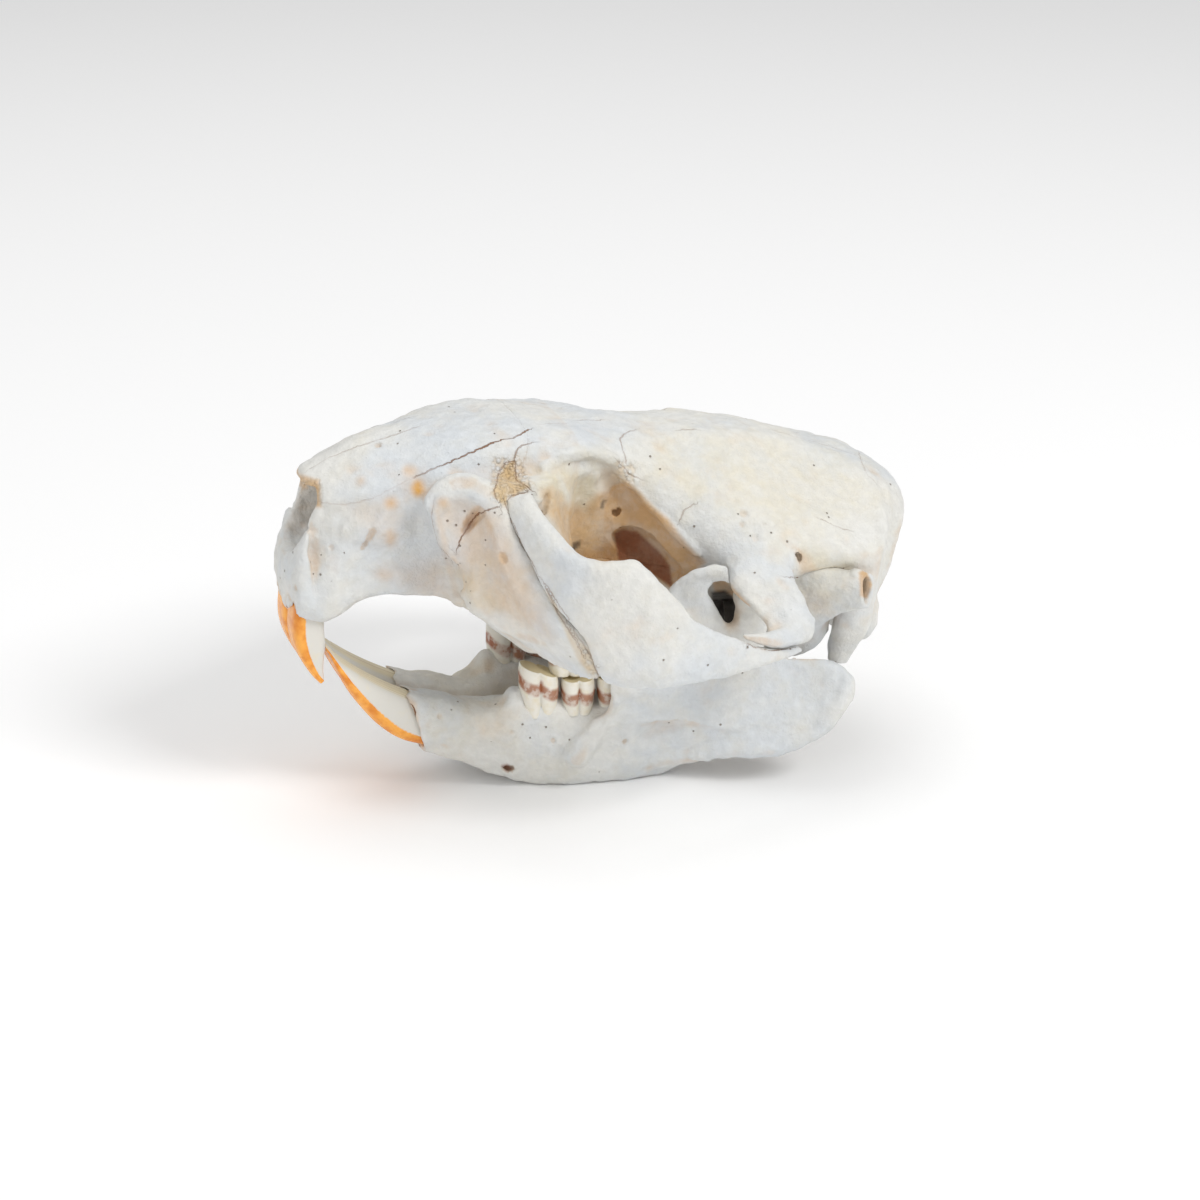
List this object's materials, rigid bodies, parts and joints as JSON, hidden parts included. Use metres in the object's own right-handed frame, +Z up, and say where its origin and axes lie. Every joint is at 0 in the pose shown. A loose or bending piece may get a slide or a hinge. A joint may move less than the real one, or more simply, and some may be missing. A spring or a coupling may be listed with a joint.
{
  "type": "beaver skull",
  "caption": "Bleached beaver skull with its lower jaw closed, wide cheek arches, flat roof and orange-fronted gnawing teeth.",
  "frame": {"origin": "middle of the bounding box, at the table the jaw rests on", "axes": "+Z up, nose towards -X, the animal's left side faces -Y"},
  "size_m": [0.1304, 0.0986, 0.0771],
  "materials": {
    "bone": "dry bleached bone, off-white, faintly porous",
    "warm_bone": "dry bone, off-white with tan staining in the hollows",
    "enamel": "orange iron-stained enamel in front, cream dentine at the sides and back"
  },
  "bodies": {
    "root": {"frontal": "bone", "braincase": "bone", "occipital": "bone", "nasal_left": "bone", "nasal_right": "bone", "premaxilla_left": "bone", "premaxilla_right": "bone", "maxilla_left": "warm_bone", "maxilla_right": "warm_bone", "jugal_left": "bone", "jugal_right": "bone", "ear_bulla_left": "warm_bone", "ear_bulla_right": "warm_bone", "dentary_left": "bone", "dentary_right": "bone", "upper_incisor_left": "enamel", "upper_incisor_right": "enamel", "lower_incisor_left": "enamel", "lower_incisor_right": "enamel"}
  },
  "joints": []
}
